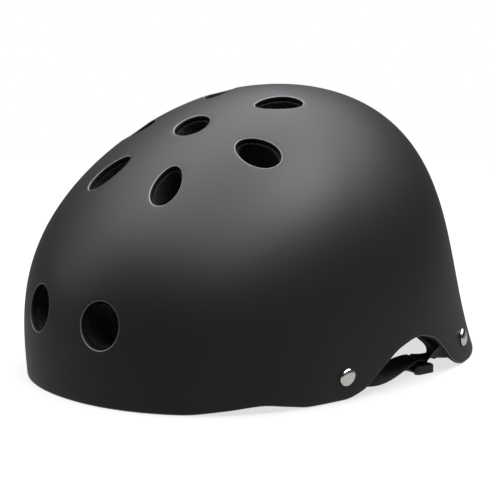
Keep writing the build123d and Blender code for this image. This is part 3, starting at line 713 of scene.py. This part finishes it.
def softened(node, width, material):
    """Rounds the edges of a hard CAD piece and gives it its material."""
    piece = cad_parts[node]
    weld = piece.modifiers.new("weld", "WELD")
    weld.merge_threshold = 0.00001
    soft = piece.modifiers.new("soft_edges", "BEVEL")
    soft.width = width
    soft.segments = 2
    soft.limit_method = "ANGLE"
    soft.angle_limit = radians(40)
    soft.harden_normals = True
    dress(node, material)


divider_black = moulded("divider_black", (0.010, 0.010, 0.0105), (0.016, 0.016, 0.017), 0.42, 0.05, 1400.0, 0.00003)
for node in ("left_divider", "right_divider"):
    softened(node, EDGE_SOFT, divider_black)


# Side-release buckle: glossy-satin moulded halves, the plug's prongs and its tongue inside the socket.
BUCKLE_SOFT = 0.0003
buckle_black = moulded("buckle_black", (0.011, 0.011, 0.0115), (0.017, 0.017, 0.018), 0.34, 0.05, 1600.0, 0.00002)
for node in ("buckle_socket", "buckle_plug", "buckle_prongs"):
    softened(node, BUCKLE_SOFT, buckle_black)


# Keeper: a soft rubber loop that holds the free end, matt with a slightly dusty sheen.
KEEPER_SOFT = 0.00045
keeper_black = moulded("keeper_rubber", (0.012, 0.012, 0.012), (0.024, 0.024, 0.024), 0.68, 0.08, 700.0, 0.00005)
softened("strap_keeper", KEEPER_SOFT, keeper_black)


# Rivets: polished nickel caps, 10.6 mm across, domed with a short straight rim, and their plain hidden backs.
CAP_RADIUS, CAP_RIM, CAP_DOME, CAP_SEAT, CAP_PIN, CAP_PIN_LENGTH = 0.0053, 0.0005, 0.0023, 0.00035, 0.0023, 0.0065
RIVETS = {"front": (-1.65, 0.935), "rear": (-44.55, 0.945)}
nickel, nickel_tree, nickel_shader = new_material("polished_nickel")
nickel_shader.inputs["Metallic"].default_value = 1.0
nickel_place = nickel_tree.nodes.new("ShaderNodeTexCoord")
nickel_haze = add_node(nickel_tree, "ShaderNodeTexNoise", Scale=420.0, Detail=4.0)
nickel_tree.links.new(nickel_place.outputs["Object"], nickel_haze.inputs["Vector"])
nickel_tree.links.new(
    tinted(nickel_tree, nickel_haze.outputs["Fac"], (0.82, 0.80, 0.77), (0.94, 0.92, 0.89)),
    nickel_shader.inputs["Base Color"],
)
nickel_rough = sum_of(nickel_tree, "MULTIPLY_ADD", nickel_haze.outputs["Fac"], 0.14, 0.08)
nickel_tree.links.new(nickel_rough, nickel_shader.inputs["Roughness"])


def turned_profile(name, profile, origin, axis, count=48):
    """A lathe piece: (radius, height) rows turned about an axis through the origin."""
    axis = np.asarray(axis)
    first = np.cross(axis, (0, 0, 1.0))
    first /= np.linalg.norm(first)
    second = np.cross(axis, first)
    angles = np.linspace(0, 2 * pi, count, endpoint=False)
    points = [origin + axis * profile[0][1]]
    for radius, height in profile[1:-1]:
        points += [origin + axis * height + radius * (first * cos(a) + second * sin(a)) for a in angles]
    points.append(origin + axis * profile[-1][1])
    faces = [(0, 1 + k, 1 + (k + 1) % count) for k in range(count)]
    for row in range(len(profile) - 3):
        start = 1 + row * count
        faces += [
            (start + k, start + (k + 1) % count, start + count + (k + 1) % count, start + count + k)
            for k in range(count)
        ]
    last, end = len(points) - 1, 1 + (len(profile) - 3) * count
    faces += [(last, end + k, end + (k + 1) % count) for k in range(count)]
    return new_piece(name, points, faces)


cap_profile = [(0, CAP_SEAT + CAP_DOME)]
for step in range(1, 11):
    turn = pi / 2 * step / 10
    radius = (CAP_RADIUS - 0.00012) * sin(turn) ** 0.92
    cap_profile.append((radius, CAP_SEAT + CAP_RIM + (CAP_DOME - CAP_RIM) * cos(turn)))
cap_profile += [
    (CAP_RADIUS, CAP_SEAT + CAP_RIM * 0.75), (CAP_RADIUS, CAP_SEAT + CAP_RIM * 0.25),
    (CAP_RADIUS - 0.0001, CAP_SEAT), (CAP_PIN, CAP_SEAT), (CAP_PIN, CAP_SEAT - 0.0001),
    (CAP_PIN, 0.0002 - CAP_PIN_LENGTH), (CAP_PIN - 0.0002, -CAP_PIN_LENGTH), (0, -CAP_PIN_LENGTH),
]
for which, (turn, down) in RIVETS.items():
    for side, flip in (("left", 1), ("right", -1)):
        at = (down * cos(radians(turn)) * flip, down * sin(radians(turn)))
        cap = turned_profile(f"{side}_{which}_rivet_cap", cap_profile, skin(*at), skin_normal(*at))
        cap.data.materials.append(nickel)
        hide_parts(f"{side}_{which}_rivet")
        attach(cap, "helmet")

steel, steel_tree, steel_shader = new_material("stamped_steel")
steel_shader.inputs["Metallic"].default_value = 1.0
steel_place = steel_tree.nodes.new("ShaderNodeTexCoord")
steel_marks = add_node(steel_tree, "ShaderNodeTexNoise", Scale=900.0, Detail=4.0, Distortion=0.6)
steel_tree.links.new(steel_place.outputs["Object"], steel_marks.inputs["Vector"])
steel_tree.links.new(
    tinted(steel_tree, steel_marks.outputs["Fac"], (0.30, 0.30, 0.30), (0.52, 0.515, 0.50)),
    steel_shader.inputs["Base Color"],
)
steel_tree.links.new(
    sum_of(steel_tree, "MULTIPLY_ADD", steel_marks.outputs["Fac"], 0.3, 0.22), steel_shader.inputs["Roughness"]
)
dress("rivet_washers", steel)
dress("rivet_backs", nickel)


# Comfort pads: soft foam sewn into brushed black cloth, held on hook patches. Each one gets its own cloth pass.
# The cover is blown up a little against its own seams, pinned along its back, then piped round its edge.
PATCH_LIFT = 0.0013
SKULL_MIDDLE = (0, 0.008, 0.05)
STITCH_GATHER, SEAM_REACH, CLOTH_FRAMES = 0.0055, 0.0022, 20
LINER_FRONT, LINER_SIDE, LINER_REAR, LINER_CROWN = 0.020, 0.018, 0.020, 0.019
PAD_RUN, PAD_SPREAD = (0, 0.05, 0.16, 0.5, 0.84, 0.95, 1), (0.50, 0.82, 1, 1, 1, 0.82, 0.50)


def liner_face(places):
    """Depth of the liner's inner face under the outer skin."""
    down = np.minimum(np.hypot(*places.T), 1)
    turn = np.arctan2(places[:, 1], places[:, 0])
    end = np.where(places[:, 1] >= 0, LINER_FRONT, LINER_REAR)
    low = LINER_SIDE * np.cos(turn) ** 2 + end * np.sin(turn) ** 2
    return SHELL_WALL + LINER_CROWN + (low - LINER_CROWN) * bezier((0, 0, 1, 1), down)


def under_skin(places, rise):
    """Points that stand a height over the liner's inner face, towards the head."""
    places = np.asarray(places, float)
    depth = liner_face(places) + rise
    return skin(*places.T) - skin_normal(*places.T) * depth[:, None]


def round_pad(turn_from, turn_to, down, half):
    """Places and directions across for a pad that runs round the head."""
    def at(share):
        turn = radians(turn_from + (turn_to - turn_from) * share)
        way = np.array((cos(turn), sin(turn)))
        return down * way, way * half
    return at


def middle_pad(ahead_from, ahead_to, half):
    """The same for a pad over the middle of the head."""
    return lambda share: (np.array((0, ahead_from + (ahead_to - ahead_from) * share)), np.array((half, 0.0)))


def pad_edge(at, rise):
    """Closed line round the pad, about half way up its side."""
    shares = np.linspace(0, 1, 41)
    spread = np.interp(shares, PAD_RUN, PAD_SPREAD)
    near = [at(s)[0] + at(s)[1] * w for s, w in zip(shares, spread)]
    far = [at(s)[0] - at(s)[1] * w for s, w in zip(shares[::-1], spread[::-1])]
    ends = [at(1)[0] + at(1)[1] * w for w in (0.3, 0.1, -0.1, -0.3)]
    starts = [at(0)[0] + at(0)[1] * w for w in (-0.3, -0.1, 0.1, 0.3)]
    return under_skin(np.array(near + ends + far + starts), rise)


def read_points(items, what):
    """A table of x, y, z rows read from mesh vertices."""
    values = np.zeros(len(items) * 3)
    items.foreach_get(what, values)
    return values.reshape(-1, 3)


def blown_cover(node, voxel, shrink):
    """A copy of the CAD pad, remeshed evenly and drawn in a little, with its back pinned for the cloth pass."""
    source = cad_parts[node]
    mesh = source.data.copy()
    mesh.transform(source.matrix_world)
    cover = bpy.data.objects.new(node + "_cover", mesh)
    bpy.context.scene.collection.objects.link(cover)
    remesh = cover.modifiers.new("even", "REMESH")
    remesh.mode = "VOXEL"
    remesh.voxel_size = voxel
    ready = cover.evaluated_get(bpy.context.evaluated_depsgraph_get())
    even = bpy.data.meshes.new_from_object(ready)
    cover.modifiers.clear()
    cover.data = even
    at, out = read_points(even.vertices, "co"), read_points(even.vertices, "normal")
    even.vertices.foreach_set("co", (at - out * shrink).ravel())
    even.update()
    to_skull = np.array(SKULL_MIDDLE) - at
    to_skull /= np.linalg.norm(to_skull, axis=1, keepdims=True)
    pinned = cover.vertex_groups.new(name="pinned")
    pinned.add([int(k) for k in np.nonzero((out * to_skull).sum(1) < -0.35)[0]], 1.0, "REPLACE")
    return cover


def start_cloth(cover, pressure):
    cloth = cover.modifiers.new("cover_cloth", "CLOTH")
    cloth.settings.quality = 5
    cloth.settings.mass = 0.15
    cloth.settings.tension_stiffness = 12
    cloth.settings.compression_stiffness = 12
    cloth.settings.shear_stiffness = 6
    cloth.settings.bending_stiffness = 0.4
    cloth.settings.use_pressure = True
    cloth.settings.uniform_pressure_force = pressure
    cloth.settings.effector_weights.gravity = 0
    cloth.settings.vertex_group_mass = "pinned"
    cloth.point_cache.frame_start, cloth.point_cache.frame_end = 1, CLOTH_FRAMES


def finish_cover(cover, cap, edge, pucker, piping, materials):
    """Applies the cloth pass with a cap on its travel, subdivides, draws in the seam and adds the piping."""
    before = read_points(cover.data.vertices, "co")
    if cover.modifiers:
        ready = cover.evaluated_get(bpy.context.evaluated_depsgraph_get())
        travel = read_points(ready.data.vertices, "co") - before
        size = np.linalg.norm(travel, axis=1, keepdims=True)
        before = before + travel * np.minimum(1, cap / np.maximum(size, 1e-9))
        cover.modifiers.clear()
    cover.data.vertices.foreach_set("co", before.ravel())
    cover.data.update()
    finer = cover.modifiers.new("finer", "SUBSURF")
    finer.levels = finer.render_levels = 1
    fine = bpy.data.meshes.new_from_object(cover.evaluated_get(bpy.context.evaluated_depsgraph_get()))
    cover.modifiers.clear()
    cover.data = fine
    tree = BVHTree.FromPolygons([v.co for v in fine.vertices], [tuple(p.vertices) for p in fine.polygons])
    hits = [tree.find_nearest(Vector(point)) for point in edge]
    line = np.array([tuple(hit[0]) for hit in hits])
    out = np.array([tuple(hit[1]) for hit in hits])
    for _ in range(6):
        line = (np.roll(line, 1, 0) + 2 * line + np.roll(line, -1, 0)) / 4
        out = (np.roll(out, 1, 0) + 2 * out + np.roll(out, -1, 0)) / 4
    out /= np.linalg.norm(out, axis=1, keepdims=True)
    at, normal = read_points(fine.vertices, "co"), read_points(fine.vertices, "normal")
    run = np.concatenate([[0], np.cumsum(np.linalg.norm(np.diff(line, axis=0), axis=1))])
    gap = np.linalg.norm(at[:, None] - line[None], axis=2)
    near, far = gap.argmin(1), gap.min(1)
    gather = 0.75 + 0.25 * np.sin(2 * pi * run[near] / STITCH_GATHER)
    at -= normal * (pucker * np.exp(-((far / SEAM_REACH) ** 2)) * gather)[:, None]
    fine.vertices.foreach_set("co", at.ravel())
    fine.polygons.foreach_set("use_smooth", [True] * len(fine.polygons))
    path, ahead = line + out * piping * 0.3, np.roll(line, -1, 0) - np.roll(line, 1, 0)
    ahead /= np.linalg.norm(ahead, axis=1, keepdims=True)
    cross = np.cross(ahead, out)
    cross /= np.linalg.norm(cross, axis=1, keepdims=True)
    rise = np.cross(cross, ahead)
    rings = [path + piping * (cross * cos(a) + rise * sin(a)) for a in np.linspace(0, 2 * pi, 8, endpoint=False)]
    cord = np.stack(rings, 1)
    number = len(path)
    faces = [
        (k * 8 + j, (k + 1) % number * 8 + j, (k + 1) % number * 8 + (j + 1) % 8, k * 8 + (j + 1) % 8)
        for k in range(number) for j in range(8)
    ]
    trim = new_piece(cover.name + "_piping", cord.reshape(-1, 3), faces)
    for piece, material in ((cover, materials[0]), (trim, materials[1])):
        piece.data.materials.clear()
        piece.data.materials.append(material)
    return trim


def cloth_material(name, low, high, mesh_scale, depth, sheen, rough):
    """Knitted or brushed cloth from 3D textures: fine loops, soft patches and a light fuzz."""
    cloth, tree, shader = new_material(name)
    shader.inputs["Sheen Weight"].default_value = sheen
    shader.inputs["Sheen Roughness"].default_value = 0.5
    shader.inputs["Roughness"].default_value = rough
    shader.inputs["Specular IOR Level"].default_value = 0.2
    place = tree.nodes.new("ShaderNodeTexCoord")
    loops = add_node(tree, "ShaderNodeTexVoronoi", Scale=mesh_scale)
    patches = add_node(tree, "ShaderNodeTexNoise", Scale=60.0, Detail=4.0)
    fuzz = add_node(tree, "ShaderNodeTexNoise", Scale=mesh_scale * 2.2, Detail=3.0)
    for texture in (loops, patches, fuzz):
        tree.links.new(place.outputs["Object"], texture.inputs["Vector"])
    # Painted shade between the loops: the colour is darkest where the loops' bump height sinks, times soft random
    # patches.
    shade = sum_of(tree, "MULTIPLY_ADD", loops.outputs["Distance"], -0.8, 1.0)
    mixed = sum_of(tree, "MULTIPLY", shade, sum_of(tree, "MULTIPLY_ADD", patches.outputs["Fac"], 0.8, 0.45))
    tree.links.new(tinted(tree, mixed, low, high), shader.inputs["Base Color"])
    height = sum_of(tree, "MULTIPLY_ADD", fuzz.outputs["Fac"], 0.4, sum_of(tree, "MULTIPLY", shade, 1.0))
    bumped(tree, shader, height, 0.8, depth)
    return cloth


brushed = cloth_material("brushed_pad_cloth", (0.008, 0.008, 0.009), (0.040, 0.040, 0.043), 900.0, 0.00035, 0.35, 0.9)
meshed = cloth_material("air_mesh_cloth", (0.006, 0.006, 0.0065), (0.050, 0.050, 0.053), 520.0, 0.0006, 0.2, 0.85)
binding = cloth_material("edge_piping_cloth", (0.006, 0.006, 0.0065), (0.028, 0.028, 0.030), 1600.0, 0.0002, 0.2, 0.75)


def pad_form(at, pressure, fill, rise=0.0034, voxel=0.0026, shrink=0.0006):
    return dict(at=at, rise=rise, voxel=voxel, shrink=shrink, pressure=pressure, fill=fill)


# Brow pad: long, firm and curved across the forehead, brushed cloth.
BROW = pad_form(round_pad(46, 134, 0.91, 0.05), pressure=4.0, fill=0.85)

# Nape pad: shorter and softer, under the bulge of the back of the head.
NAPE = pad_form(round_pad(-128, -52, 0.85, 0.055), pressure=3.5, fill=0.8)

# Side pads: a pair over the ears, in air mesh.
LEFT_SIDE = pad_form(round_pad(-30, 34, 0.755, 0.055), pressure=4.0, fill=0.8)
RIGHT_SIDE = pad_form(round_pad(146, 210, 0.755, 0.055), pressure=4.0, fill=0.8)

# Forehead pad: between brow and crown, over the middle of the head.
FOREHEAD = pad_form(middle_pad(0.34, 0.62, 0.11), pressure=4.5, fill=0.85)

# Crown pad: the thickest one, carries the helmet's weight, in air mesh.
CROWN = pad_form(middle_pad(-0.30, 0.11, 0.16), pressure=5.0, fill=0.9, rise=0.0038, voxel=0.0028, shrink=0.0007)

# Back pad: under the rear of the crown, brushed cloth.
BACK = pad_form(middle_pad(-0.68, -0.40, 0.17), pressure=4.0, fill=0.8)

PADS = {
    "brow_pad": (BROW, brushed), "nape_pad": (NAPE, brushed), "left_side_pad": (LEFT_SIDE, meshed),
    "right_side_pad": (RIGHT_SIDE, meshed), "forehead_pad": (FOREHEAD, brushed), "crown_pad": (CROWN, meshed),
    "back_pad": (BACK, brushed),
}
CAP, PUCKER, PIPING = 0.0012, 0.0005, 0.00065
covers = {node: blown_cover(node, pad["voxel"], pad["shrink"]) for node, (pad, _) in PADS.items()}
for node, cover in covers.items():
    start_cloth(cover, PADS[node][0]["pressure"])
for number in range(1, CLOTH_FRAMES + 1):
    bpy.context.scene.frame_set(number)
for node, (pad, cloth) in PADS.items():
    edge = pad_edge(pad["at"], PATCH_LIFT + pad["rise"])
    trim = finish_cover(covers[node], CAP, edge, PUCKER, PIPING, (cloth, binding))
    trim.parent = covers[node]
    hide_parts(node)
    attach(covers[node], "helmet")
bpy.context.scene.frame_set(1)


# Hook patches: thin black strips of tiny hooks, glued to the foam behind each pad.
hooks = cloth_material("hook_strip", (0.006, 0.006, 0.006), (0.030, 0.030, 0.030), 1100.0, 0.0005, 0.05, 0.6)
dress("hook_patches", hooks)


# Studio: a white table that fades into the white air, one broad softbox overhead and a weak one to each side.
# The table glows for the camera and keeps the shadow; the light that it throws back up comes from the air below it.
TABLE_RADIUS, FADE_FROM, FADE_TO, TABLE_Z = 1.1, 0.36, 0.80, -0.0002
rim_turns = np.linspace(0, 2 * pi, 64, endpoint=False)
table_rim = [(TABLE_RADIUS * cos(a), TABLE_RADIUS * sin(a), TABLE_Z) for a in rim_turns]
table = new_piece("studio_floor", table_rim, [tuple(range(len(table_rim)))])
white, white_tree, white_shader = new_material("studio_white")
white_shader.inputs["Base Color"].default_value = (0.18, 0.18, 0.18, 1)
white_shader.inputs["Roughness"].default_value = 0.9
white_shader.inputs["Specular IOR Level"].default_value = 0.1
white_shader.inputs["Emission Color"].default_value = (1, 1, 1, 1)
seen_by = white_tree.nodes.new("ShaderNodeLightPath")
white_tree.links.new(
    sum_of(white_tree, "MULTIPLY", seen_by.outputs["Is Camera Ray"], 0.72), white_shader.inputs["Emission Strength"]
)
table_place = white_tree.nodes.new("ShaderNodeTexCoord")
table_reach = add_node(white_tree, "ShaderNodeVectorMath", operation="LENGTH")
white_tree.links.new(table_place.outputs["Object"], table_reach.inputs[0])
fade = add_node(
    white_tree, "ShaderNodeMapRange", interpolation_type="SMOOTHSTEP",
    From_Min=FADE_FROM, From_Max=FADE_TO, To_Min=1.0, To_Max=0.0,
)
white_tree.links.new(table_reach.outputs["Value"], fade.inputs["Value"])
table_side = white_tree.nodes.new("ShaderNodeNewGeometry")
above = sum_of(white_tree, "SUBTRACT", 1.0, table_side.outputs["Backfacing"])
seen_above = sum_of(white_tree, "MULTIPLY", seen_by.outputs["Is Camera Ray"], above)
shown = sum_of(white_tree, "MULTIPLY", fade.outputs["Result"], seen_above)
white_tree.links.new(shown, white_shader.inputs["Alpha"])
table.data.materials.append(white)

world = bpy.data.worlds.new("studio_air")
bpy.context.scene.world = world
world.use_nodes = True
air = world.node_tree
back = air.nodes["Background"]
back.inputs["Color"].default_value = (1, 1, 1, 1)
rays = air.nodes.new("ShaderNodeLightPath")
heading = air.nodes.new("ShaderNodeTexCoord")
height = air.nodes.new("ShaderNodeSeparateXYZ")
air.links.new(heading.outputs["Generated"], height.inputs[0])
bounce = add_node(
    air, "ShaderNodeMapRange", interpolation_type="SMOOTHSTEP", From_Min=0.05, From_Max=-0.25, To_Min=0.04
)
air.links.new(sum_of(air, "MULTIPLY_ADD", rays.outputs["Is Glossy Ray"], 0.12, 0.36), bounce.inputs["To Max"])
air.links.new(height.outputs["Z"], bounce.inputs["Value"])
air.links.new(
    sum_of(air, "MAXIMUM", rays.outputs["Is Camera Ray"], bounce.outputs["Result"]), back.inputs["Strength"]
)


LAMP_COLOUR = (0.96, 0.96, 1.0)


def softbox(name, place, aim, size, power):
    lamp = bpy.data.lights.new(name, "AREA")
    lamp.shape = "RECTANGLE"
    lamp.size, lamp.size_y = size
    lamp.energy = power
    lamp.color = LAMP_COLOUR
    holder = bpy.data.objects.new(name, lamp)
    holder.location = place
    holder.rotation_euler = (Vector(aim) - Vector(place)).to_track_quat("-Z", "Y").to_euler()
    bpy.context.scene.collection.objects.link(holder)


softbox("overhead", (-0.20, 0.15, 1.40), (-0.20, 0.15, 0.0), (3.0, 2.6), 98.0)
softbox("key", (0.45, 0.25, 1.30), (0.02, 0.02, 0.10), (0.8, 0.8), 10.0)
softbox("front_fill", (-1.3, -1.0, 0.7), (0, 0, 0.08), (0.7, 0.7), 3.0)

camera = bpy.data.cameras.new("photo_view")
camera.sensor_width = 36
camera.lens = 181.43
view = bpy.data.objects.new("photo_view", camera)
view.location = (1.10303, -0.89428, 0.35088)
view.rotation_euler = (radians(90 - 11.212), 0, radians(51.193))
bpy.context.scene.collection.objects.link(view)
bpy.context.scene.camera = view
bpy.context.scene.view_settings.view_transform = "Standard"
